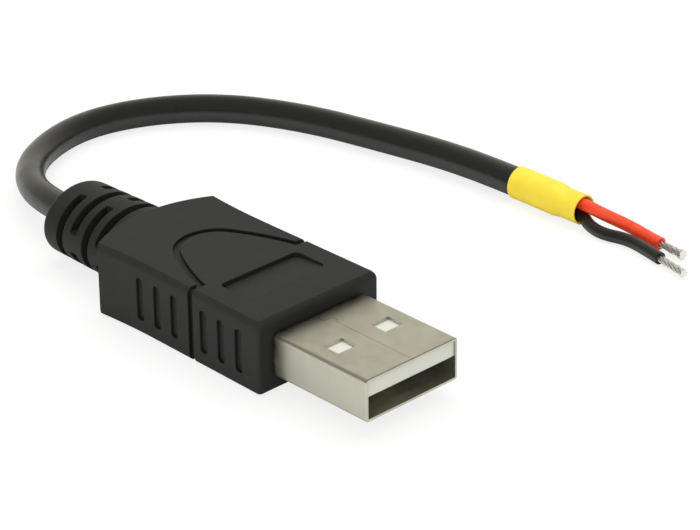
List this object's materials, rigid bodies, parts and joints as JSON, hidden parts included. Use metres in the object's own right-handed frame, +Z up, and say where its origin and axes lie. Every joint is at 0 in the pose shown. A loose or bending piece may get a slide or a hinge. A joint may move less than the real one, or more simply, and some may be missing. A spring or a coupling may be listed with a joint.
{
  "type": "usb cable",
  "caption": "Flat type A plug with a contoured grip and slotted strain relief, on a short round two-wire cable that ends in a shrink sleeve and stripped wires.",
  "frame": {"origin": "centre of the plug's mouth", "axes": "+X points out of the plug's mouth, away from the grip; +Y points to the side on which the cable comes back beside the plug; +Z is up, away from the surface that the grip's broad face lies on"},
  "size_m": [0.0711, 0.0514, 0.0078],
  "materials": {
    "grip": "fine matt texture, smoother on the strain relief",
    "inner_mould": "as moulded",
    "shell": "nickel plated, satin",
    "insulator": "as moulded",
    "contact": "plated",
    "solder": "bright solder",
    "jacket": "satin",
    "red_insulation": "satin",
    "black_insulation": "satin",
    "conductor": "tinned copper strands",
    "shrink_sleeve": "satin"
  },
  "bodies": {
    "root": {"overmould": "grip", "inner_mould": "inner_mould", "shell": "shell", "insulator": "insulator", "contact_gnd": "contact", "contact_d_plus": "contact", "contact_d_minus": "contact", "contact_vbus": "contact", "solder_vbus": "solder", "solder_gnd": "solder", "cable_jacket": "jacket", "red_insulation": "red_insulation", "black_insulation": "black_insulation", "red_conductor": "conductor", "black_conductor": "conductor", "shrink_sleeve": "shrink_sleeve"}
  },
  "joints": []
}
